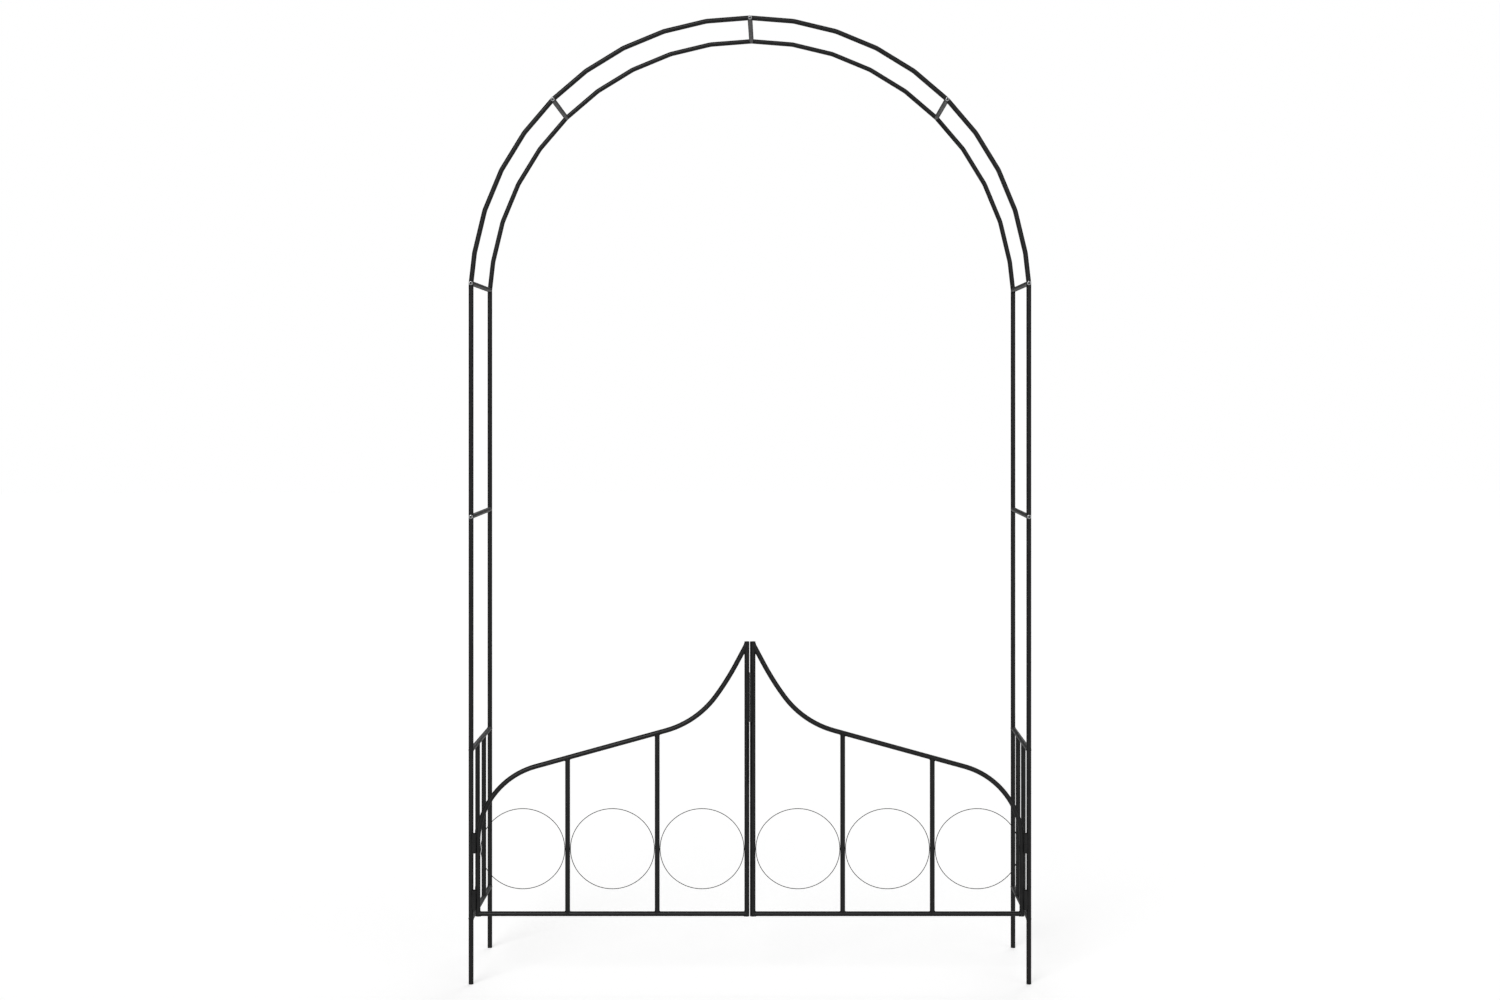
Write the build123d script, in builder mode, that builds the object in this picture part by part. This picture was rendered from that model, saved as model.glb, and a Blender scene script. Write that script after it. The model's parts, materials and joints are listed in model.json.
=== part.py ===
"""Garden arch of steel tube with side trellises and a double gate.

Frame: origin on the ground midway between the four posts, +X to the right of a visitor
who faces the gate, +Y through the arch away from the visitor, +Z up. Millimetres.
"""
from build123d import *
import os
from math import asin, cos, degrees, radians, sin, sqrt, tan

# ---------------------------------------------------------------- driving dimensions
tube_d = 12.0              # every tube of the arch and the gate
tube_wall = 1.0
span = 1368.0              # between the post centre-lines
depth = 388.0              # between the front arch and the rear arch
post_joint_z = 1146.5      # where the lower post ends
spring_joint_z = 1719.0    # where the post ends and the bow starts
arch_centre_z = 1686.0     # centre of the bow
arch_step = 9.0            # degrees from one bend of the bow to the next
haunch_angle = 45.0        # the bow is bolted here and at its crown
bend_r = 60.0              # centre-line radius of each small bend

sleeve_reach = 32.0        # how far a joint sleeve goes into each tube
sleeve_wall = 1.5
sleeve_bend_r = 15.0
sleeve_clearance = 0.1     # round the sleeve
weld_gap = 0.1             # between a coped end and the tube that it is welded to

bolt_d = 6.0               # M6 button head bolts
bolt_length = 25.0
bolt_clearance = 0.3       # round the bolt where it crosses a tube
head_d = 10.5
head_h = 3.3
head_rim = 0.7
head_flat_d = 6.4
head_dome_r = 3.6
socket_af = 4.0
socket_depth = 2.0
plug_length = 14.0         # threaded plug in each rung end
plug_inset = 4.0
thread_clearance = 0.05

side_top_z = 574.0         # rails of the side trellises
side_bottom_z = 160.0
side_bars = 2

leaf_gap = 5.0             # between post and hinge stile
meeting_gap = 3.2          # between the two meeting stiles
strip_gap = 1.5            # what the stop strip on the right stile leaves of it
strip_depth = 4.0
gate_bottom_z = 172.5      # centre-line of the bottom rail
bars_per_leaf = 2
shoulder_z = 349.0         # the hinge stile starts to bend here
shoulder_r = 191.5
rail_slope = 15.4          # degrees
neck_x = 206.0             # the top rail starts to rise here
neck_r = 226.0
neck_slope = 53.6          # degrees, where the wider bend takes over
crest_r = 652.0
crest_end_x = 34.0         # from here the top rail runs straight up to the meeting stile
ring_wire_d = 1.8
ring_height = 198.4
ring_z = 332.0
ring_gap = 0.1             # between a ring and the bars beside it

barrel_d = 10.0            # lift-off hinges
barrel_length = 50.0
barrel_gap = 0.4           # between a barrel and the tubes beside it
barrel_split = 0.3         # between the two halves
barrel_taper = 2.0
pin_d = 6.0
pin_clearance = 0.05
pin_reach = 18.0
pin_end_gap = 2.0
web_width = 4.0
hinge_zs = (208.0, 347.0)

latch_d = 12.6             # round latch bar, split down its length
latch_z = 645.0
latch_length = 120.0
latch_gap = 0.5            # between its two halves
eye_r = 3.5
eye_stem = 1.0
wire_d = 2.5               # closing chain and its eye
chain_links = 8
link_pitch = 18.4
link_width = 9.0
link_clearance = 0.3
chain_x = -4.85

# ---------------------------------------------------------------- worked out from them
tube_r = tube_d / 2
bore_r = tube_r - tube_wall
cope_r = tube_r + weld_gap
post_x = span / 2
arch_y = depth / 2
arch_r = span / 2
hinge_stile_x = post_x - tube_d - leaf_gap
meeting_stile_x = (tube_d + meeting_gap) / 2
leaf_width = hinge_stile_x - meeting_stile_x
bar_pitch = leaf_width / (bars_per_leaf + 1)
stile_bottom_z = gate_bottom_z - tube_r
gate_y = -arch_y

os.makedirs("parts", exist_ok=True)


def save(part, name):
    part.label = name
    export_step(part, f"parts/{name}.step")


def save_pair(part, name):
    """Write the right-hand piece and its left-hand mirror image."""
    save(part, f"right_{name}")
    save(mirror(part, about=Plane.YZ), f"left_{name}")


def solid_rod(start, end, radius):
    """A plain round rod between two points, for coping and boring."""
    axis = end - start
    return Solid.make_cylinder(radius, axis.length, Plane(start, z_dir=axis))


def tube_section(plane):
    """The ring-shaped section of a tube on a plane."""
    with BuildSketch(plane) as section:
        Circle(tube_r)
        Circle(bore_r, mode=Mode.SUBTRACT)
    return section.sketch


def straight_tube(start, end, copes=()):
    """A tube between two points, less the tubes that it is coped to."""
    with BuildPart() as tube:
        extrude(tube_section(Plane(start, z_dir=end - start)), amount=(end - start).length)
        for rod in copes:
            add(rod, mode=Mode.SUBTRACT)
    return tube.part


# ---------------------------------------------------------------- joints of the front arch
def bow_point(angle):
    return Vector(arch_r * cos(radians(angle)), -arch_y, arch_centre_z + arch_r * sin(radians(angle)))


up, down = Vector(0, 0, 1), Vector(0, 0, -1)
foot_point = Vector(post_x, -arch_y, 0)
post_joint = Vector(post_x, -arch_y, post_joint_z)
spring_joint = Vector(post_x, -arch_y, spring_joint_z)
bends = round(haunch_angle / arch_step)
haunch_run = [spring_joint] + [bow_point(arch_step * (i + 1)) for i in range(bends)]
crown_run = [bow_point(haunch_angle + arch_step * i) for i in range(round((90 - haunch_angle) / arch_step) + 1)]
haunch_joint, crown_joint = crown_run[0], crown_run[-1]
past_crown = bow_point(90 + arch_step)

# A joint is its point and the unit directions of the two tubes that leave it.
right_joints = {
    "post": (post_joint, down, up),
    "spring": (spring_joint, down, (haunch_run[1] - spring_joint).normalized()),
    "haunch": (haunch_joint, (haunch_run[-2] - haunch_joint).normalized(),
               (crown_run[1] - haunch_joint).normalized()),
}
top_joint = (crown_joint, (crown_run[-2] - crown_joint).normalized(),
             (past_crown - crown_joint).normalized())
left_joints = [tuple(Vector(-v.X, v.Y, v.Z) for v in joint) for joint in right_joints.values()]
front_joints = [*right_joints.values(), *left_joints, top_joint]


def mitre_plane(joint, towards):
    """The plane in which a joint's tubes meet, its normal on the side of one of them."""
    point, first, second = joint
    return Plane(point, z_dir=(first - second) if towards == first else (second - first))


def bolt_hole(point):
    reach = Vector(0, tube_d, 0)
    return solid_rod(point - reach, point + reach, bolt_d / 2 + bolt_clearance)


def arch_tube(run, low_joint, high_joint):
    """A tube along a run of points, mitred and half-holed for the bolt at each joint."""
    points = list(run)
    if low_joint:
        points[0] = run[0] - low_joint[2] * tube_d
    points[-1] = run[-1] - high_joint[1] * tube_d
    with BuildPart() as tube:
        with BuildLine() as path:
            if len(points) > 2:
                FilletPolyline(*points, radius=bend_r)
            else:
                Line(*points)
        sweep(tube_section(Plane(path.line @ 0, z_dir=path.line % 0)), path=path.line)
        if low_joint:
            split(bisect_by=mitre_plane(low_joint, low_joint[2]), keep=Keep.TOP)
            add(bolt_hole(low_joint[0]), mode=Mode.SUBTRACT)
        split(bisect_by=mitre_plane(high_joint, high_joint[1]), keep=Keep.TOP)
        add(bolt_hole(high_joint[0]), mode=Mode.SUBTRACT)
    return tube.part


arch_tubes = {
    "lower_post": arch_tube([foot_point, post_joint], None, right_joints["post"]),
    "upper_post": arch_tube([post_joint, spring_joint], right_joints["post"], right_joints["spring"]),
    "haunch_tube": arch_tube(haunch_run, right_joints["spring"], right_joints["haunch"]),
    "crown_tube": arch_tube(crown_run, right_joints["haunch"], top_joint),
}
for name, tube in arch_tubes.items():
    rear_tube = mirror(tube, about=Plane.XZ)
    save(tube, f"front_right_{name}")
    save(mirror(tube, about=Plane.YZ), f"front_left_{name}")
    save(rear_tube, f"rear_right_{name}")
    save(mirror(rear_tube, about=Plane.YZ), f"rear_left_{name}")

# ---------------------------------------------------------------- joint sleeves and bolts
sleeve_r = bore_r - sleeve_clearance
with BuildPart() as sleeves:
    for point, first, second in front_joints:
        with BuildPart(mode=Mode.PRIVATE) as sleeve:
            with BuildLine() as path:
                if first.get_angle(second) < 179.9:
                    FilletPolyline(point + first * sleeve_reach, point,
                                   point + second * sleeve_reach, radius=sleeve_bend_r)
                else:
                    Line(point + first * sleeve_reach, point + second * sleeve_reach)
            with BuildSketch(Plane(path.line @ 0, z_dir=path.line % 0)):
                Circle(sleeve_r)
                Circle(sleeve_r - sleeve_wall, mode=Mode.SUBTRACT)
            sweep(path=path.line)
            add(bolt_hole(point), mode=Mode.SUBTRACT)
        add(sleeve.part)
save(sleeves.part, "front_joint_sleeves")
save(mirror(sleeves.part, about=Plane.XZ), "rear_joint_sleeves")

with BuildPart() as bolt:
    with BuildSketch(Plane.XZ):
        with BuildLine():
            Polyline((0, head_h), (0, -bolt_length), (bolt_d / 2, -bolt_length),
                     (bolt_d / 2, 0), (head_d / 2, 0), (head_d / 2, head_rim))
            dome = RadiusArc((head_d / 2, head_rim), (head_flat_d / 2, head_h), -head_dome_r)
            Line(dome @ 1, (0, head_h))
        make_face()
    revolve(axis=Axis.Z)
    with BuildSketch(Plane.XY.offset(head_h)):
        RegularPolygon(socket_af / 2, 6, major_radius=False)
    extrude(amount=-socket_depth, mode=Mode.SUBTRACT)

with BuildPart() as bolts:
    for point, first, second in front_joints:
        seat = Plane(point - Vector(0, tube_r, 0), z_dir=(0, -1, 0))
        add(bolt.part.moved(seat.location))
save(bolts.part, "front_bolts")
save(mirror(bolts.part, about=Plane.XZ), "rear_bolts")


# ---------------------------------------------------------------- rungs and their plugs
def tubes_at(joint):
    """The outside of a joint's two tubes, front and rear, with the weld gap round them."""
    rods = []
    for towards in joint[1:]:
        rod = solid_rod(joint[0] - towards * tube_d, joint[0] + towards * 3 * tube_d, cope_r)
        rod = rod.split(mitre_plane(joint, towards), keep=Keep.TOP)
        rods += [rod, rod.mirror(Plane.XZ)]
    return rods


def rung(joint):
    start = joint[0]
    return straight_tube(start, start + Vector(0, depth, 0), tubes_at(joint))


for name, joint in right_joints.items():
    save_pair(rung(joint), f"{name}_rung")
save(rung(top_joint), "crown_rung")

with BuildPart() as front_plugs:
    for point, first, second in front_joints:
        with BuildSketch(Plane(point + Vector(0, tube_r + plug_inset, 0), z_dir=(0, 1, 0))):
            Circle(bore_r - thread_clearance)
            Circle(bolt_d / 2 + thread_clearance, mode=Mode.SUBTRACT)
        extrude(amount=plug_length)
with BuildPart() as rung_plugs:
    add(front_plugs.part)
    mirror(front_plugs.part, about=Plane.XZ)
save(rung_plugs.part, "rung_plugs")

# ---------------------------------------------------------------- side trellises
post_rods = [solid_rod(Vector(post_x, y, 0), Vector(post_x, y, post_joint_z), cope_r)
             for y in (-arch_y, arch_y)]
rail_rods = []
for name, z in (("top", side_top_z), ("bottom", side_bottom_z)):
    start, finish = Vector(post_x, -arch_y, z), Vector(post_x, arch_y, z)
    save_pair(straight_tube(start, finish, post_rods), f"side_{name}_rail")
    rail_rods.append(solid_rod(start, finish, cope_r))
for i in range(side_bars):
    y = -arch_y + depth * (i + 1) / (side_bars + 1)
    bar = straight_tube(Vector(post_x, y, side_bottom_z), Vector(post_x, y, side_top_z), rail_rods)
    save_pair(bar, f"side_bar_{i + 1}")

# ---------------------------------------------------------------- gate leaves
# The outline is worked out for the right leaf, whose hinge stile is at +X, and mirrored.
slope, rise = radians(rail_slope), radians(neck_slope)
shoulder_x = hinge_stile_x - shoulder_r
shoulder_end = (shoulder_x + shoulder_r * sin(slope), shoulder_z + shoulder_r * cos(slope))
neck_start = (neck_x, shoulder_end[1] + (shoulder_end[0] - neck_x) * tan(slope))
neck_centre = (neck_x + neck_r * sin(slope), neck_start[1] + neck_r * cos(slope))
crest_start = (neck_centre[0] - neck_r * sin(rise), neck_centre[1] - neck_r * cos(rise))
crest_centre = (crest_start[0] + crest_r * sin(rise), crest_start[1] + crest_r * cos(rise))
crest_angle = asin((crest_centre[0] - crest_end_x) / crest_r)
crest_end = (crest_end_x, crest_centre[1] - crest_r * cos(crest_angle))
rail_end = (meeting_stile_x, crest_end[1] + (crest_end_x - meeting_stile_x) * tan(crest_angle))
stile_top_z = rail_end[1] + tube_r


def gate_point(x, z):
    return Vector(x, gate_y, z)


def rail_point(x):
    """A point of the top rail's centre-line between the shoulder and the neck."""
    return gate_point(x, neck_start[1] - (x - neck_x) * tan(slope))


gate_plane = Plane((0, gate_y, 0), x_dir=(1, 0, 0), z_dir=(0, -1, 0))
meeting_rod = solid_rod(gate_point(meeting_stile_x, 0), gate_point(meeting_stile_x, stile_top_z + tube_d), cope_r)
hinge_rod = solid_rod(gate_point(hinge_stile_x, 0), gate_point(hinge_stile_x, shoulder_z), cope_r)
bottom_rod = solid_rod(gate_point(meeting_stile_x, gate_bottom_z),
                       gate_point(hinge_stile_x, gate_bottom_z), cope_r)
slope_rod = solid_rod(gate_point(*neck_start), gate_point(*shoulder_end), cope_r)

with BuildLine(gate_plane) as rail_path:
    Line((hinge_stile_x, stile_bottom_z), (hinge_stile_x, shoulder_z))
    CenterArc((shoulder_x, shoulder_z), shoulder_r, 0, 90 - rail_slope)
    Line(shoulder_end, neck_start)
    CenterArc(neck_centre, neck_r, 270 - rail_slope, rail_slope - neck_slope)
    CenterArc(crest_centre, crest_r, 270 - neck_slope, neck_slope - degrees(crest_angle))
    Line(crest_end, rail_end)
rail_line = rail_path.line
with BuildPart() as top_rail:
    sweep(tube_section(Plane(rail_line @ 0, z_dir=rail_line % 0)), path=rail_line)
    add(meeting_rod, mode=Mode.SUBTRACT)
save_pair(top_rail.part.solids().sort_by(SortBy.VOLUME)[-1], "leaf_top_rail")

save_pair(straight_tube(gate_point(meeting_stile_x, stile_bottom_z),
                        gate_point(meeting_stile_x, stile_top_z)), "leaf_meeting_stile")
with BuildPart() as stop_strip:
    with BuildSketch(Plane((strip_gap - meeting_gap / 2, gate_y, stile_bottom_z), z_dir=(0, 0, 1))):
        Rectangle(tube_r, strip_depth, align=(Align.MIN, Align.CENTER))
    extrude(amount=stile_top_z - stile_bottom_z)
    add(meeting_rod, mode=Mode.SUBTRACT)
save(stop_strip.part, "gate_stop_strip")
save_pair(straight_tube(gate_point(meeting_stile_x, gate_bottom_z),
                        gate_point(hinge_stile_x, gate_bottom_z), [meeting_rod, hinge_rod]),
          "leaf_bottom_rail")

for i in range(bars_per_leaf):
    x = meeting_stile_x + bar_pitch * (i + 1)
    bar = straight_tube(gate_point(x, gate_bottom_z), rail_point(x), [bottom_rod, slope_rod])
    save_pair(bar, f"leaf_bar_{i + 1}")

# A ring is a slightly flattened circle of four tangent arcs that meet on its diagonals.
ring_a = (bar_pitch - tube_d - ring_wire_d) / 2 - ring_gap
ring_b = (ring_height - ring_wire_d) / 2
ring_shift = (ring_a - ring_b) / (2 - sqrt(2))
side_arc_r = ring_a - ring_shift
top_arc_r = ring_b + ring_shift
for i in range(bars_per_leaf + 1):
    x = meeting_stile_x + bar_pitch * (i + 0.5)
    with BuildPart() as ring:
        with BuildLine(gate_plane) as hoop:
            CenterArc((x + ring_shift, ring_z), side_arc_r, -45, 90)
            CenterArc((x, ring_z - ring_shift), top_arc_r, 45, 90)
            CenterArc((x - ring_shift, ring_z), side_arc_r, 135, 90)
            CenterArc((x, ring_z + ring_shift), top_arc_r, 225, 90)
        with BuildSketch(Plane(hoop.line @ 0, z_dir=hoop.line % 0)):
            Circle(ring_wire_d / 2)
        sweep(path=hoop.line)
    save_pair(ring.part, f"leaf_ring_{i + 1}")

# ---------------------------------------------------------------- hinges
# The axis stands in front of the gap, the same distance from the post and the hinge stile.
barrel_reach = tube_r + barrel_d / 2 + barrel_gap
hinge_x = (post_x + hinge_stile_x) / 2
hinge_y = gate_y - sqrt(barrel_reach**2 - ((post_x - hinge_stile_x) / 2) ** 2)
half_length = (barrel_length - barrel_split) / 2


def hinge_half(bottom, tube_x, upper):
    """One half of a lift-off hinge, with the web that is welded to its tube."""
    base = Vector(hinge_x, hinge_y, bottom)
    tube_base = Vector(tube_x, gate_y, bottom)
    towards = (tube_base - base).normalized()
    tube_rod = solid_rod(tube_base + down, tube_base + up * barrel_length, cope_r)
    socket = solid_rod(base + down, base + up * (pin_reach + pin_end_gap), pin_d / 2 + pin_clearance)
    pin = solid_rod(base + up * (half_length - 1), base + up * (half_length + barrel_split + pin_reach), pin_d / 2)
    with BuildPart() as half:
        with BuildSketch(Plane(base, z_dir=(0, 0, 1))):
            Circle(barrel_d / 2)
        extrude(amount=half_length)
        outer_end = half.faces().sort_by(Axis.Z)[-1 if upper else 0]
        chamfer(outer_end.edges(), length=barrel_taper)
        with BuildSketch(Plane(base + up * barrel_taper, x_dir=towards, z_dir=(0, 0, 1))):
            Rectangle(barrel_reach, web_width, align=(Align.MIN, Align.CENTER))
        extrude(amount=half_length - 2 * barrel_taper)
        add(tube_rod, mode=Mode.SUBTRACT)
        if upper:
            add(socket, mode=Mode.SUBTRACT)
        else:
            add(pin)
    return half.part


with BuildPart() as hinge_barrels:
    for z in hinge_zs:
        add(hinge_half(z + barrel_split / 2, hinge_stile_x, True))
save_pair(hinge_barrels.part, "leaf_hinge_barrels")
with BuildPart() as hinge_pins:
    for z in hinge_zs:
        add(hinge_half(z - barrel_split / 2 - half_length, post_x, False))
save_pair(hinge_pins.part, "post_hinge_pins")

# ---------------------------------------------------------------- latch and closing chain
# The latch is a round bar split down its length: each half is welded to its meeting stile.
latch_reach = tube_r + latch_d / 2 + weld_gap
latch_y = gate_y - sqrt(latch_reach**2 - meeting_stile_x**2)
with BuildPart() as latch_half:
    with BuildSketch(Plane((0, latch_y, latch_z), z_dir=(0, 0, 1))):
        Circle(latch_d / 2)
        Rectangle(latch_d + latch_gap, latch_d, align=(Align.MAX, Align.CENTER), mode=Mode.SUBTRACT)
        with Locations((latch_gap / 2, 0)):
            Rectangle(latch_d, latch_d, align=(Align.MAX, Align.CENTER), mode=Mode.SUBTRACT)
    extrude(amount=latch_length)
save_pair(latch_half.part, "latch_bar")

eye_z = latch_z - eye_r - wire_d / 2 - eye_stem
eye_way = Vector(1, -1, 0).normalized()
link_way = Vector(1, 1, 0).normalized()
eye_centre = Vector(chain_x, latch_y, eye_z)
with BuildPart() as chain_eye:
    add(Solid.make_torus(eye_r, wire_d / 2, Plane(eye_centre, z_dir=link_way)))
    add(solid_rod(eye_centre + up * eye_r, Vector(chain_x, latch_y, latch_z), wire_d / 2))
save(chain_eye.part, "chain_eye")

inner_length = link_pitch + link_clearance
bend = (link_width - wire_d) / 2
straight = inner_length / 2 + wire_d / 2 - bend
first_z = eye_z - eye_r + wire_d / 2 + link_clearance - inner_length / 2
with BuildPart() as chain:
    for i in range(chain_links):
        width_way, across = (link_way, eye_way) if i % 2 == 0 else (eye_way, link_way)
        link_plane = Plane((chain_x, latch_y, first_z - i * link_pitch), x_dir=width_way, z_dir=across)
        with BuildLine(link_plane) as oval:
            Line((bend, -straight), (bend, straight))
            CenterArc((0, straight), bend, 0, 180)
            Line((-bend, straight), (-bend, -straight))
            CenterArc((0, -straight), bend, 180, 180)
        with BuildSketch(Plane(oval.line @ 0, z_dir=oval.line % 0)):
            Circle(wire_d / 2)
        sweep(path=oval.line)
save(chain.part, "closing_chain")
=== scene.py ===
"""Finish of the garden arch: powder coat, zinc, welds, bolts and chain detail.

The floor, the lights and the camera come last.

Everything is in metres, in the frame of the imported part: +X to the right of a visitor who
faces the gate, +Y through the arch, +Z up from the ground.
"""
import bmesh
import bpy
import json
from math import cos, pi, radians, sin, sqrt
from mathutils import Matrix, Vector


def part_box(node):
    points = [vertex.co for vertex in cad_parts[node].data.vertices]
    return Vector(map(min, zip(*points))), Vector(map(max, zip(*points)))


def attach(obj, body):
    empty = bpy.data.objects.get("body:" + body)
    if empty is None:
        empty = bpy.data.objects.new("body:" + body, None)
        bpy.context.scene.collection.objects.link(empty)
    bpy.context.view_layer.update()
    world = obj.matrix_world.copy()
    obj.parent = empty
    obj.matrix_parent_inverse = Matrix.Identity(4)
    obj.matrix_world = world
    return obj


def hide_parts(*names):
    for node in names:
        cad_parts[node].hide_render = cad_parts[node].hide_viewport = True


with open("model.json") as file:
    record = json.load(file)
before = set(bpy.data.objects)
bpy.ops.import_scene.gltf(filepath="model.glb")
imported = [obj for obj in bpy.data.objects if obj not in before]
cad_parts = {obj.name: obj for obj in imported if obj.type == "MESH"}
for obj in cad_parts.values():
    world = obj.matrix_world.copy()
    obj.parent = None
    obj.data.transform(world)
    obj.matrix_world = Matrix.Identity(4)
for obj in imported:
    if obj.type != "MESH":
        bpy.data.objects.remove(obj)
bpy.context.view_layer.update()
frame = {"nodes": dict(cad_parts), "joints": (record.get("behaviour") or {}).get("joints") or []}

# ---------------------------------------------------------------- sizes
tube_r = 0.006
rail_slope = radians(15.4)      # upper rail of a leaf between its shoulder and its neck
crest_slope = radians(61.85)    # the same rail where it reaches the meeting stile
cope_step = 0.0011              # from the tip of a sloping cope to the rail's centre-line

weld_steps = 48                 # sections round a weld
weld_sides = 10
weld_r = 0.0013                 # in the crotch of two tubes
weld_flank = 0.5                # share of that on the flanks, where the tubes run into each other
weld_ripple = 0.86

stitch_r = 0.0012               # straight welds of the hinges and the latch
stitch_step = 0.0008
stitch_ends = (0.4, 0.8)        # share of full width at each end, and one step in from it
off_barrel = 0.2                # how far a hinge weld's middle is out from the barrel, in stitch_r
off_web = 0.35                  # and out from the web
off_latch_line = 1.9            # a latch weld's, from the line between stile and latch
hinge_stitch = 0.020
latch_stitch = 0.018
latch_stitches = 3

tack_size = (0.0011, 0.0013, 0.0024)   # half sizes of the tack that holds a ring to a bar
tack_lump = 0.00018
ring_numbers = (1, 2, 3)
bar_names = ("bar_1", "bar_2")  # of each leaf and each side trellis

barrel_r = 0.005                # hinges
barrel_half = 0.02485           # length of the part that a leaf or a post carries
web_half = 0.002                # half the thickness of the web between barrel and tube

head_r = 0.00525                # button head bolts
head_seat_r = head_r * 0.97     # underside, inside its rounded edge
head_h = 0.0033
head_rim = 0.0007
rim_round = 0.3                 # share of the rim's height that the rounded edge takes
head_flat_r = 0.0032
dome_steps = 6
shank_r = 0.003
shank_plain = 0.006
shank_length = 0.025
thread_pitch = 0.001
thread_depth = 0.87             # share of the shank's radius at the root of the thread
shank_tip = 0.75                # and at its tip
socket_af = 0.004
socket_depth = 0.002
socket_lead = 0.0003
bolt_sides = 48

chain_links = 8
link_pitch = 0.0184
link_half_width = 0.00325       # from a link's axis to the middle of its wire
wire_r = 0.00125
bulge_r = 0.0004                # butt weld on each link
bulge_stretch = 1.5             # along the wire

smooth_angle = radians(40)      # edges sharper than this stay crisp
cloud_span = (0.32, 0.68)       # of the noise, spread out to run from 0 to 1
edge_span = (0.985, 0.86)       # cosine between flat and rounded normals: no wear, full wear

floor_size = 60.0
floor_white = 0.86
floor_glow = 0.48               # lifts the floor to plain white for the camera alone
sky_seen = 1.0
sky_light = 0.16
lights = (                      # name, direction it shines from, strength, spread in degrees
    ("key_light", (-0.35, -1.0, 0.55), 1.5, 28.0),
    ("fill_light", (0.6, -0.8, 0.35), 0.6, 40.0),
    ("back_light", (0.2, 1.0, 0.9), 0.8, 40.0),
)
camera_place = (0.059, -6.054, 1.440)


# ---------------------------------------------------------------- shared effects
def maths_node(tree, kind, operation):
    """A node that works out one operation on its first two inputs."""
    node = tree.nodes.new(kind)
    node.operation = operation
    return node


def new_group(name, inputs, outputs):
    """An empty node group with named number inputs and named outputs."""
    tree = bpy.data.node_groups.new(name, "ShaderNodeTree")
    for label, default in inputs.items():
        socket = tree.interface.new_socket(name=label, in_out="INPUT", socket_type="NodeSocketFloat")
        socket.default_value = default
    for label in outputs:
        tree.interface.new_socket(name=label, in_out="OUTPUT", socket_type="NodeSocketFloat")
    return tree, tree.nodes.new("NodeGroupInput"), tree.nodes.new("NodeGroupOutput")


def grain_group():
    """Fine grain of a sprayed or plated skin: its height and how its gloss wanders."""
    tree, given, out = new_group(
        "skin_grain", {"Peel Scale": 700.0, "Cloud Scale": 30.0}, ("Height", "Cloud"))
    place = tree.nodes.new("ShaderNodeTexCoord")
    peel = tree.nodes.new("ShaderNodeTexNoise")
    peel.inputs["Detail"].default_value = 3.0
    peel.inputs["Roughness"].default_value = 0.55
    cloud = tree.nodes.new("ShaderNodeTexNoise")
    cloud.inputs["Detail"].default_value = 4.0
    for noise, label in ((peel, "Peel Scale"), (cloud, "Cloud Scale")):
        tree.links.new(place.outputs["Object"], noise.inputs["Vector"])
        tree.links.new(given.outputs[label], noise.inputs["Scale"])
    spread = tree.nodes.new("ShaderNodeMapRange")
    spread.inputs["From Min"].default_value = cloud_span[0]
    spread.inputs["From Max"].default_value = cloud_span[1]
    tree.links.new(cloud.outputs["Fac"], spread.inputs["Value"])
    tree.links.new(peel.outputs["Fac"], out.inputs["Height"])
    tree.links.new(spread.outputs["Result"], out.inputs["Cloud"])
    return tree


def edge_group():
    """Where a coat thins over a sharp edge: a mask that is 1 on the edge."""
    tree, given, out = new_group("edge_wear", {"Width": 0.0005, "Patchiness": 60.0}, ("Mask",))
    rounded = tree.nodes.new("ShaderNodeBevel")
    rounded.samples = 4
    tree.links.new(given.outputs["Width"], rounded.inputs["Radius"])
    flat = tree.nodes.new("ShaderNodeNewGeometry")
    bend = maths_node(tree, "ShaderNodeVectorMath", "DOT_PRODUCT")
    tree.links.new(rounded.outputs["Normal"], bend.inputs[0])
    tree.links.new(flat.outputs["Normal"], bend.inputs[1])
    edge = tree.nodes.new("ShaderNodeMapRange")
    edge.inputs["From Min"].default_value = edge_span[0]
    edge.inputs["From Max"].default_value = edge_span[1]
    tree.links.new(bend.outputs["Value"], edge.inputs["Value"])
    place = tree.nodes.new("ShaderNodeTexCoord")
    patch = tree.nodes.new("ShaderNodeTexNoise")
    tree.links.new(place.outputs["Object"], patch.inputs["Vector"])
    tree.links.new(given.outputs["Patchiness"], patch.inputs["Scale"])
    mask = maths_node(tree, "ShaderNodeMath", "MULTIPLY")
    tree.links.new(edge.outputs["Result"], mask.inputs[0])
    tree.links.new(patch.outputs["Fac"], mask.inputs[1])
    tree.links.new(mask.outputs["Value"], out.inputs["Mask"])
    return tree


skin_grain = grain_group()
edge_wear = edge_group()


# ---------------------------------------------------------------- finishes
def placed_group(tree, group, **values):
    """A node group placed in a material, with values for its inputs."""
    node = tree.nodes.new("ShaderNodeGroup")
    node.node_tree = group
    for label, value in values.items():
        node.inputs[label.replace("_", " ")].default_value = value
    return node


def colour_mix(tree, factor, low, high):
    """A colour between two, by a factor; low may be a socket."""
    node = tree.nodes.new("ShaderNodeMix")
    node.data_type = "RGBA"
    tree.links.new(factor, node.inputs["Factor"])
    for socket, colour in ((node.inputs[6], low), (node.inputs[7], high)):
        if isinstance(colour, tuple):
            socket.default_value = (*colour, 1.0)
        else:
            tree.links.new(colour, socket)
    return node.outputs[2]


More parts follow.
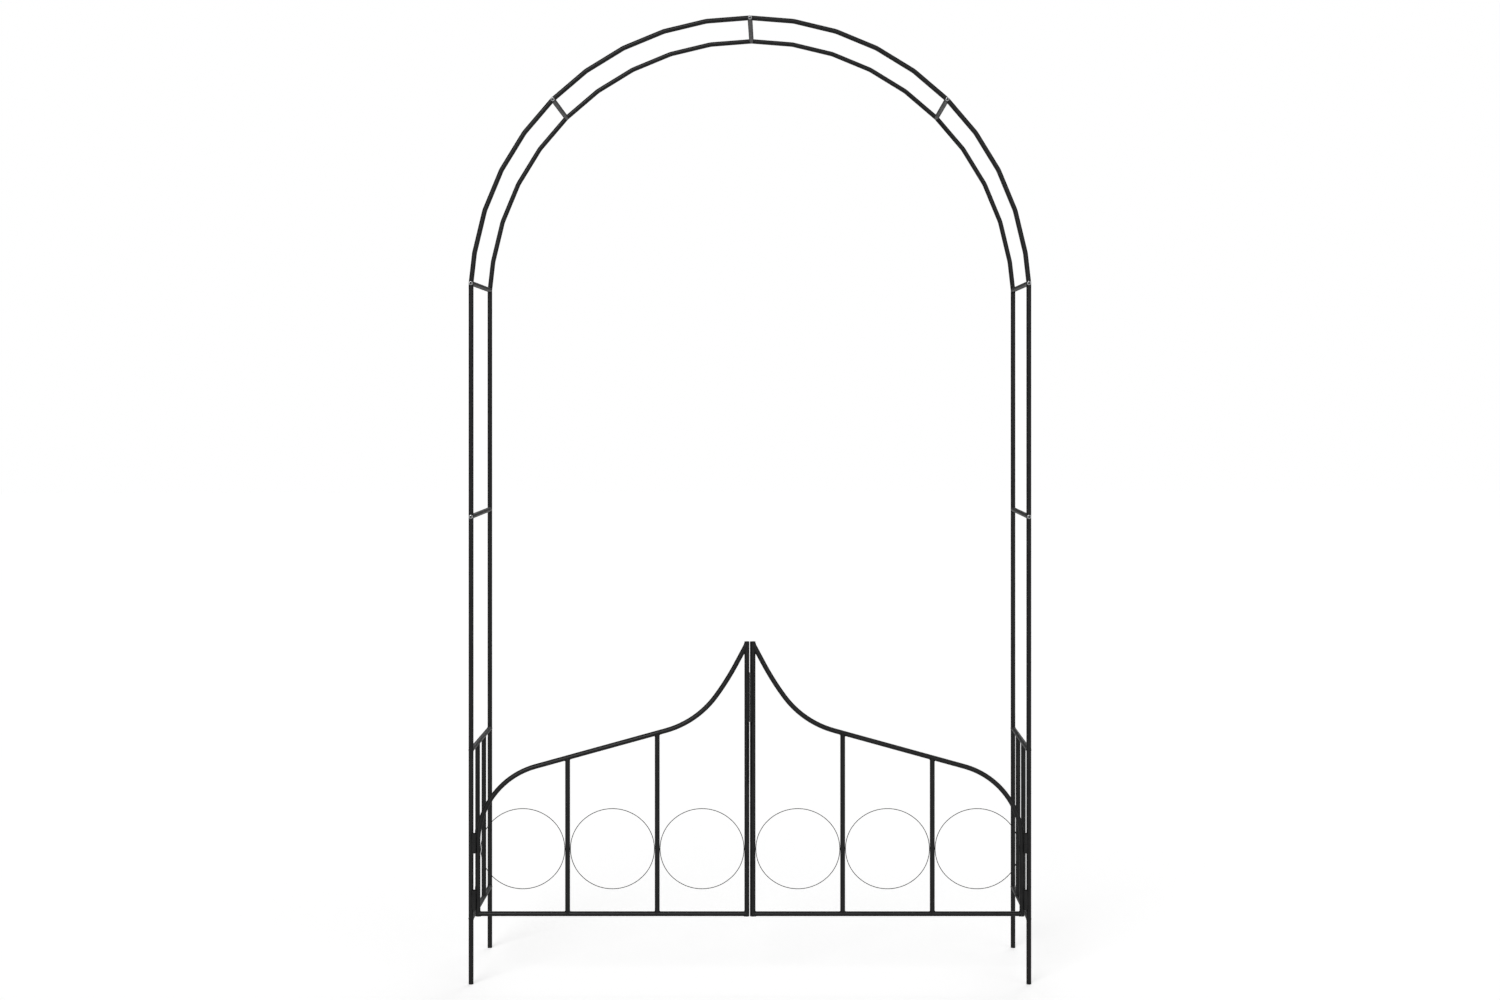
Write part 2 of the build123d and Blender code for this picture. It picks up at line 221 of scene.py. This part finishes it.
def skin(name, dark, light, edge, rough, specular, metallic, peel, bump, worn):
    """A sprayed or plated skin with its grain, clouding and thinned edges."""
    material = bpy.data.materials.new(name)
    material.use_nodes = True
    tree = material.node_tree
    shader = tree.nodes["Principled BSDF"]
    shader.inputs["Metallic"].default_value = metallic
    shader.inputs["Specular IOR Level"].default_value = specular
    grain = placed_group(tree, skin_grain, Peel_Scale=peel[0], Cloud_Scale=peel[1])
    wear = placed_group(tree, edge_wear, Width=worn[0], Patchiness=worn[1])
    clouded = colour_mix(tree, grain.outputs["Cloud"], dark, light)
    tree.links.new(colour_mix(tree, wear.outputs["Mask"], clouded, edge), shader.inputs["Base Color"])
    gloss = tree.nodes.new("ShaderNodeMapRange")
    gloss.inputs["To Min"].default_value = rough[0]
    gloss.inputs["To Max"].default_value = rough[1]
    tree.links.new(grain.outputs["Cloud"], gloss.inputs["Value"])
    tree.links.new(gloss.outputs["Result"], shader.inputs["Roughness"])
    relief = tree.nodes.new("ShaderNodeBump")
    relief.inputs["Strength"].default_value = bump[0]
    relief.inputs["Distance"].default_value = bump[1]
    tree.links.new(grain.outputs["Height"], relief.inputs["Height"])
    tree.links.new(relief.outputs["Normal"], shader.inputs["Normal"])
    return material


finishes = {
    "powder_coat": skin(
        "satin_black_powder_coat", dark=(0.0060, 0.0060, 0.0062), light=(0.0105, 0.0105, 0.0108),
        edge=(0.045, 0.044, 0.043), rough=(0.36, 0.48), specular=0.28, metallic=0.0,
        peel=(900.0, 24.0), bump=(0.35, 0.00012), worn=(0.0006, 90.0)),
    "zinc_plated_steel": skin(
        "bright_zinc_plate", dark=(0.50, 0.51, 0.52), light=(0.64, 0.65, 0.66),
        edge=(0.72, 0.72, 0.72), rough=(0.24, 0.40), specular=0.5, metallic=1.0,
        peel=(2600.0, 300.0), bump=(0.2, 0.00004), worn=(0.0004, 400.0)),
}
# Zinc darkened for the faces inside the hex socket: painted shade in the recess, on top of the thinner,
# duller plating there.
socket_painted_shade = skin(
    "socket_zinc_with_painted_shade", dark=(0.05, 0.05, 0.05), light=(0.11, 0.11, 0.11),
    edge=(0.30, 0.30, 0.30), rough=(0.5, 0.7), specular=0.3, metallic=0.8,
    peel=(2600.0, 500.0), bump=(0.3, 0.00005), worn=(0.0002, 400.0))
for node in frame["nodes"].values():
    for slot in node.material_slots:
        slot.material = finishes[slot.material.name]


# ---------------------------------------------------------------- working by hand
def only(piece):
    """Select one piece and nothing else."""
    bpy.ops.object.select_all(action="DESELECT")
    piece.select_set(True)
    bpy.context.view_layer.objects.active = piece


def start(primitive, **sizes):
    """Add a primitive with nothing else selected, and open it for shaping."""
    bpy.ops.object.select_all(action="DESELECT")
    primitive(**sizes)
    piece = bpy.context.object
    bpy.ops.object.mode_set(mode="EDIT")
    return piece


def close_up(piece):
    """Turn all faces outwards and leave edit mode."""
    bpy.ops.mesh.select_all(action="SELECT")
    bpy.ops.mesh.remove_doubles(threshold=0.000001)
    bpy.ops.mesh.normals_make_consistent(inside=False)
    bpy.ops.object.mode_set(mode="OBJECT")
    return piece


def pick(piece, test):
    """Select the vertices whose place passes a test."""
    bpy.ops.mesh.select_all(action="DESELECT")
    mesh = bmesh.from_edit_mesh(piece.data)
    for vert in mesh.verts:
        vert.select_set(test(vert.co))
    mesh.select_flush(True)
    bmesh.update_edit_mesh(piece.data)


def swell(share, centre, flat=False):
    """Scale what is selected about a centre; flat leaves its height alone."""
    bpy.ops.transform.resize(value=(share, share, 1.0 if flat else share), center_override=centre)


def apply(piece, kind, **settings):
    """Add a modifier and apply it."""
    only(piece)
    modifier = piece.modifiers.new(kind.lower(), kind)
    for label, value in settings.items():
        setattr(modifier, label, value)
    bpy.ops.object.modifier_apply(modifier=modifier.name)


def put(model, at, along, across):
    """A copy of a model with its Z along one direction and its X towards another."""
    only(model)
    bpy.ops.object.duplicate(linked=False)
    piece = bpy.context.object
    z = along.normalized()
    x = (across - across.dot(z) * z).normalized()
    turn = Matrix((x, z.cross(x), z)).transposed().to_4x4()
    piece.matrix_world = Matrix.Translation(at) @ turn
    bpy.ops.object.transform_apply(location=True, rotation=True, scale=True)
    return piece


def gather(pieces, name, body, slot, replaced=()):
    """Join copies into one named piece with its finish, which rides on a body."""
    bpy.ops.object.select_all(action="DESELECT")
    for piece in pieces:
        piece.select_set(True)
    bpy.context.view_layer.objects.active = pieces[0]
    if len(pieces) > 1:
        bpy.ops.object.join()
    piece = bpy.context.object
    piece.name = piece.data.name = name
    bpy.ops.object.shade_smooth_by_angle(angle=smooth_angle)
    if not piece.data.materials:
        piece.data.materials.append(finishes[slot])
    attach(piece, body)
    if replaced:
        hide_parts(*replaced)
    return piece


def discard(*models):
    """Delete models that have been copied to all their places."""
    for model in models:
        only(model)
        bpy.ops.object.delete()


def middle(node):
    """The middle of a CAD node's box."""
    lo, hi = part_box(node)
    return (lo + hi) / 2


def hinge_stile_x(side, outward):
    """The centre-line of a leaf's hinge stile, the outermost stretch of its top rail."""
    return outward.x * (max(abs(corner.x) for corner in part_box(f"{side}_leaf_top_rail")) - tube_r)


right, left = Vector((1, 0, 0)), Vector((-1, 0, 0))
through, towards = Vector((0, 1, 0)), Vector((0, -1, 0))
up, down = Vector((0, 0, 1)), Vector((0, 0, -1))


# ---------------------------------------------------------------- welds
def round_weld(lean=0.0):
    """A rippled weld round a coped tube end. The tube runs up local Z from the other tube's
    centre-line, and leans from square by an angle towards that tube's local +X."""
    ring = start(bpy.ops.mesh.primitive_torus_add, major_radius=tube_r, minor_radius=weld_r,
                 major_segments=weld_steps, minor_segments=weld_sides)
    for step in range(weld_steps):
        turn = 2 * pi * step / weld_steps
        centre = Vector((tube_r * cos(turn), tube_r * sin(turn), 0))
        pick(ring, lambda co: co.xy.dot(centre.xy) > 0
             and abs(co.x * centre.y - co.y * centre.x) < tube_r * tube_r * 0.5 * sin(pi / weld_steps))
        crotch = abs(cos(turn))
        ripple = weld_ripple if step % 2 else 1.0
        swell(ripple * (weld_flank + (1 - weld_flank) * crotch), centre)
        lift = tube_r * (crotch + cos(turn) * sin(lean)) / cos(lean)
        bpy.ops.transform.translate(value=(0, 0, lift))
    return close_up(ring)


def straight_weld(length):
    """A rippled straight weld with run-out ends, along local Z, its middle at the origin."""
    bead = start(bpy.ops.mesh.primitive_circle_add, vertices=weld_sides, radius=stitch_r * stitch_ends[0],
                 fill_type="NGON", location=(0, 0, -length / 2))
    steps = round(length / stitch_step)
    width = stitch_ends[0]
    for step in range(1, steps + 1):
        end = min(step, steps - step)
        if end < len(stitch_ends):
            wanted = stitch_ends[end]
        else:
            wanted = 1.0 if step % 2 else weld_ripple
        bpy.ops.mesh.extrude_region_move(TRANSFORM_OT_translate={"value": (0, 0, length / steps)})
        swell(wanted / width, (0, 0, 0), flat=True)
        width = wanted
    return close_up(bead)


def tack_weld():
    """A lumpy tack, longest along local Z."""
    blob = start(bpy.ops.mesh.primitive_uv_sphere_add, segments=14, ring_count=8, radius=1.0)
    bpy.ops.transform.resize(value=tack_size)
    bpy.ops.transform.vertex_random(offset=tack_lump, seed=3)
    close_up(blob)
    apply(blob, "SUBSURF", levels=1, render_levels=1)
    return blob


square_weld = round_weld()
bar_head_weld = round_weld(rail_slope)
crest_weld = round_weld(crest_slope)
hinge_weld = straight_weld(hinge_stitch)
latch_weld = straight_weld(latch_stitch)
ring_tack = tack_weld()


def trellis_welds(side):
    """Rails to posts and bars to rails of one side trellis."""
    beads = []
    for rail in ("top_rail", "bottom_rail"):
        centre = middle(f"{side}_side_{rail}")
        for post, away in (("front", through), ("rear", towards)):
            y = middle(f"{post}_{side}_lower_post").y
            beads.append(put(square_weld, Vector((centre.x, y, centre.z)), away, up))
        for bar in bar_names:
            at = Vector((centre.x, middle(f"{side}_side_{bar}").y, centre.z))
            beads.append(put(square_weld, at, down if rail == "top_rail" else up, through))
    return gather(beads, f"{side}_trellis_welds", "frame", "powder_coat")


def leaf_welds(side, outward):
    """Rails, bars and stiles of one gate leaf. Outward points from the middle of the gate."""
    stile = middle(f"{side}_leaf_meeting_stile")
    stile_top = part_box(f"{side}_leaf_meeting_stile")[1].z
    bottom = middle(f"{side}_leaf_bottom_rail")
    hinge_x = hinge_stile_x(side, outward)
    rail_way = outward * cos(rail_slope) + down * sin(rail_slope)
    beads = [
        put(square_weld, Vector((stile.x, stile.y, bottom.z)), outward, up),
        put(square_weld, Vector((hinge_x, stile.y, bottom.z)), -outward, up),
        put(crest_weld, Vector((stile.x, stile.y, stile_top - tube_r)),
            outward * cos(crest_slope) + down * sin(crest_slope), down),
    ]
    for bar in bar_names:
        foot = middle(f"{side}_leaf_{bar}")
        rail_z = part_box(f"{side}_leaf_{bar}")[1].z + cope_step
        beads.append(put(square_weld, Vector((foot.x, foot.y, bottom.z)), up, right))
        beads.append(put(bar_head_weld, Vector((foot.x, foot.y, rail_z)), down, rail_way))
    return gather(beads, f"{side}_leaf_welds", f"{side}_leaf", "powder_coat")


def ring_tacks(side):
    """The two tacks that hold each ring of one leaf."""
    tacks = []
    for number in ring_numbers:
        lo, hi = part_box(f"{side}_leaf_ring_{number}")
        centre = (lo + hi) / 2
        for x in (lo.x, hi.x):
            tacks.append(put(ring_tack, Vector((x, centre.y, centre.z)), up, right))
    return gather(tacks, f"{side}_ring_tacks", f"{side}_leaf", "powder_coat")


def hinge_welds(side, outward, hinge):
    """Both sides of each hinge web, on the leaf and on the post."""
    axis = Vector(hinge["pos_m"])
    leaf_lo, leaf_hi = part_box(f"{side}_leaf_hinge_barrels")
    pins_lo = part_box(f"{side}_post_hinge_pins")[0]
    apart = leaf_hi.z - leaf_lo.z - barrel_half
    stile_x = hinge_stile_x(side, outward)
    gate_y = middle(f"{side}_leaf_meeting_stile").y
    post_x = middle(f"front_{side}_lower_post").x
    for body, name, tube_x, low in ((f"{side}_leaf", f"{side}_leaf_hinge_welds", stile_x, leaf_lo.z),
                                    ("frame", f"{side}_post_hinge_welds", post_x, pins_lo.z)):
        reach = Vector((tube_x - axis.x, gate_y - axis.y, 0)).normalized()
        beside = up.cross(reach)
        beads = []
        for lift in (0, apart):
            z = low + lift + barrel_half / 2
            for way in (1, -1):
                out = reach * (barrel_r + stitch_r * off_barrel)
                aside = beside * way * (web_half + stitch_r * off_web)
                beads.append(put(hinge_weld, Vector((axis.x, axis.y, z)) + out + aside, up, reach))
        gather(beads, name, body, "powder_coat")


def latch_welds(side):
    """Short welds that hold one half of the latch bar to its stile."""
    stile = middle(f"{side}_leaf_meeting_stile")
    lo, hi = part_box(f"{side}_latch_bar")
    latch = Vector((0, (lo.y + hi.y) / 2, 0))
    reach = Vector((latch.x - stile.x, latch.y - stile.y, 0)).normalized()
    beside = reach.cross(up)
    if beside.y > 0:
        beside = -beside
    groove = Vector((stile.x, stile.y, 0)) + reach * tube_r + beside * (stitch_r * off_latch_line)
    beads = []
    for number in range(latch_stitches):
        z = lo.z + (hi.z - lo.z) * (number + 0.5) / latch_stitches
        beads.append(put(latch_weld, groove + up * z, up, reach))
    return gather(beads, f"{side}_latch_welds", f"{side}_leaf", "powder_coat")


hinges = {joint["name"]: joint for joint in frame["joints"]}
for side, outward in (("right", right), ("left", left)):
    trellis_welds(side)
    leaf_welds(side, outward)
    ring_tacks(side)
    hinge_welds(side, outward, hinges[f"{side}_gate_hinge"])
    latch_welds(side)
discard(square_weld, bar_head_weld, crest_weld, hinge_weld, latch_weld, ring_tack)


# ---------------------------------------------------------------- bolts
def button_head_bolt():
    """A button head bolt whose head rises along local Z from its seat at the origin."""
    bolt = start(bpy.ops.mesh.primitive_circle_add, vertices=bolt_sides, radius=head_seat_r,
                 fill_type="NGON")
    width = head_seat_r

    def grow(rise, radius):
        nonlocal width
        bpy.ops.mesh.extrude_region_move(TRANSFORM_OT_translate={"value": (0, 0, rise)})
        swell(radius / width, (0, 0, 0), flat=True)
        width = radius

    grow(head_rim * rim_round, head_r)
    grow(head_rim * (1 - rim_round), head_r)
    last = head_rim
    for step in range(1, dome_steps + 1):
        turn = pi / 2 * step / dome_steps
        rise = head_rim + (head_h - head_rim) * sin(turn)
        grow(rise - last, head_flat_r + (head_r - head_flat_r) * cos(turn))
        last = rise
    pick(bolt, lambda co: co.z < head_rim * 0.1)
    bpy.ops.mesh.inset(thickness=head_seat_r - shank_r)
    width = shank_r
    grow(-shank_plain, shank_r)
    for turn in range(round((shank_length - shank_plain) / thread_pitch) - 1):
        grow(-thread_pitch / 2, shank_r * thread_depth)
        grow(-thread_pitch / 2, shank_r)
    grow(-thread_pitch, shank_r * shank_tip)
    close_up(bolt)

    hexagon_r = socket_af / sqrt(3)
    socket = start(bpy.ops.mesh.primitive_cylinder_add, vertices=6, radius=hexagon_r,
                   depth=2 * socket_depth, location=(0, 0, head_h))
    close_up(socket)
    # The lead slopes at 45 degrees from well inside the flats, and its facets straddle the corners.
    lead_r = hexagon_r + socket_lead
    lead_run = socket_lead + hexagon_r / 5
    lead = start(bpy.ops.mesh.primitive_cone_add, vertices=bolt_sides, radius1=lead_r - lead_run,
                 radius2=lead_r + lead_run, depth=2 * lead_run, location=(0, 0, head_h),
                 rotation=(0, 0, pi / bolt_sides))
    close_up(lead)
    for cutter in (socket, lead):
        apply(bolt, "BOOLEAN", operation="DIFFERENCE", solver="EXACT", object=cutter)
    discard(socket, lead)
    bolt.data.materials.clear()
    bolt.data.materials.append(finishes["zinc_plated_steel"])
    bolt.data.materials.append(socket_painted_shade)
    # The faces inside the hex socket take the darkened zinc, which is painted shade over dull plating.
    for face in bolt.data.polygons:
        face.material_index = int(face.center.xy.length < hexagon_r * 0.97 and face.center.z > 0)
    return bolt


def bolt_row(row, seat_y, facing):
    """The seven bolts of one arch, one in each joint of its tubes."""
    places = []
    for side in ("left", "right"):
        post_x = middle(f"{row}_{side}_lower_post").x
        haunch = middle(f"{side}_haunch_rung")
        places.append(Vector((post_x, seat_y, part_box(f"{row}_{side}_lower_post")[1].z)))
        places.append(Vector((post_x, seat_y, middle(f"{side}_spring_rung").z)))
        places.append(Vector((haunch.x, seat_y, haunch.z)))
    crown = middle("crown_rung")
    places.append(Vector((crown.x, seat_y, crown.z)))
    bolts = [put(bolt_model, place, facing, up) for place in places]
    return gather(bolts, f"{row}_button_head_bolts", "frame", "zinc_plated_steel", [f"{row}_bolts"])


bolt_model = button_head_bolt()
for row, facing in (("front", towards), ("rear", through)):
    tube_y = middle(f"{row}_right_lower_post").y
    bolt_row(row, tube_y + facing.y * tube_r, facing)
discard(bolt_model)


# ---------------------------------------------------------------- chain
def wire_bulge():
    """The butt weld of a wire ring, round local Z."""
    bulge = start(bpy.ops.mesh.primitive_torus_add, major_radius=wire_r, minor_radius=bulge_r,
                  major_segments=20, minor_segments=8)
    bpy.ops.transform.resize(value=(1, 1, bulge_stretch))
    return close_up(bulge)


bulge_model = wire_bulge()
chain = middle("closing_chain")
bulges = []
for link in range(chain_links):
    # Every other link is turned by a right angle, and each has its weld on one long side.
    across = Vector((-1, -1, 0) if link % 2 == 0 else (1, -1, 0)).normalized()
    centre = Vector((chain.x, chain.y, chain.z + (chain_links - 1 - 2 * link) * link_pitch / 2))
    bulges.append(put(bulge_model, centre + across * link_half_width, up, right))
gather(bulges, "chain_link_welds", "closing_chain", "powder_coat")
eye = middle("chain_eye")
stem_foot = Vector((eye.x, eye.y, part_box("chain_eye")[1].z))
gather([put(bulge_model, stem_foot, up, right)], "chain_eye_weld", "left_leaf", "powder_coat")
discard(bulge_model)


# ---------------------------------------------------------------- floor, light and camera
def camera_only(tree, seen, lit):
    """A number that is one thing for the camera and another for light."""
    path = tree.nodes.new("ShaderNodeLightPath")
    switch = tree.nodes.new("ShaderNodeMapRange")
    switch.inputs["To Min"].default_value = lit
    switch.inputs["To Max"].default_value = seen
    tree.links.new(path.outputs["Is Camera Ray"], switch.inputs["Value"])
    return switch.outputs["Result"]


bpy.ops.object.select_all(action="DESELECT")
bpy.ops.mesh.primitive_plane_add(size=floor_size)
floor = bpy.context.object
floor.name = "studio_floor"
paint = bpy.data.materials.new("pale_floor")
paint.use_nodes = True
shader = paint.node_tree.nodes["Principled BSDF"]
shader.inputs["Base Color"].default_value = (floor_white, floor_white, floor_white, 1.0)
shader.inputs["Roughness"].default_value = 0.9
shader.inputs["Emission Color"].default_value = (1.0, 1.0, 1.0, 1.0)
paint.node_tree.links.new(camera_only(paint.node_tree, floor_glow, 0.0), shader.inputs["Emission Strength"])
floor.data.materials.append(paint)

world = bpy.data.worlds.new("studio")
bpy.context.scene.world = world
world.use_nodes = True
background = world.node_tree.nodes["Background"]
background.inputs["Color"].default_value = (1.0, 1.0, 1.0, 1.0)
world.node_tree.links.new(camera_only(world.node_tree, sky_seen, sky_light), background.inputs["Strength"])


def soft_light(name, way, strength, spread):
    """A far, wide light that shines from one direction over everything alike."""
    bpy.ops.object.light_add(type="SUN", location=Vector(way) * 4.0)
    light = bpy.context.object
    light.name = name
    light.data.energy = strength
    light.data.angle = radians(spread)
    light.rotation_euler = (-Vector(way)).to_track_quat("-Z", "Y").to_euler()


for name, way, strength, spread in lights:
    soft_light(name, way, strength, spread)

# The camera is level, so that the posts stay parallel.
bpy.ops.object.camera_add(location=camera_place, rotation=(radians(90.0), 0.0, 0.0))
camera = bpy.context.object
camera.data.sensor_width = 36.0
camera.data.lens = 57.34
camera.data.shift_x = -0.016
camera.data.shift_y = -0.0687
camera.data.clip_end = 100.0
bpy.context.scene.camera = camera
bpy.context.scene.view_settings.view_transform = "Standard"
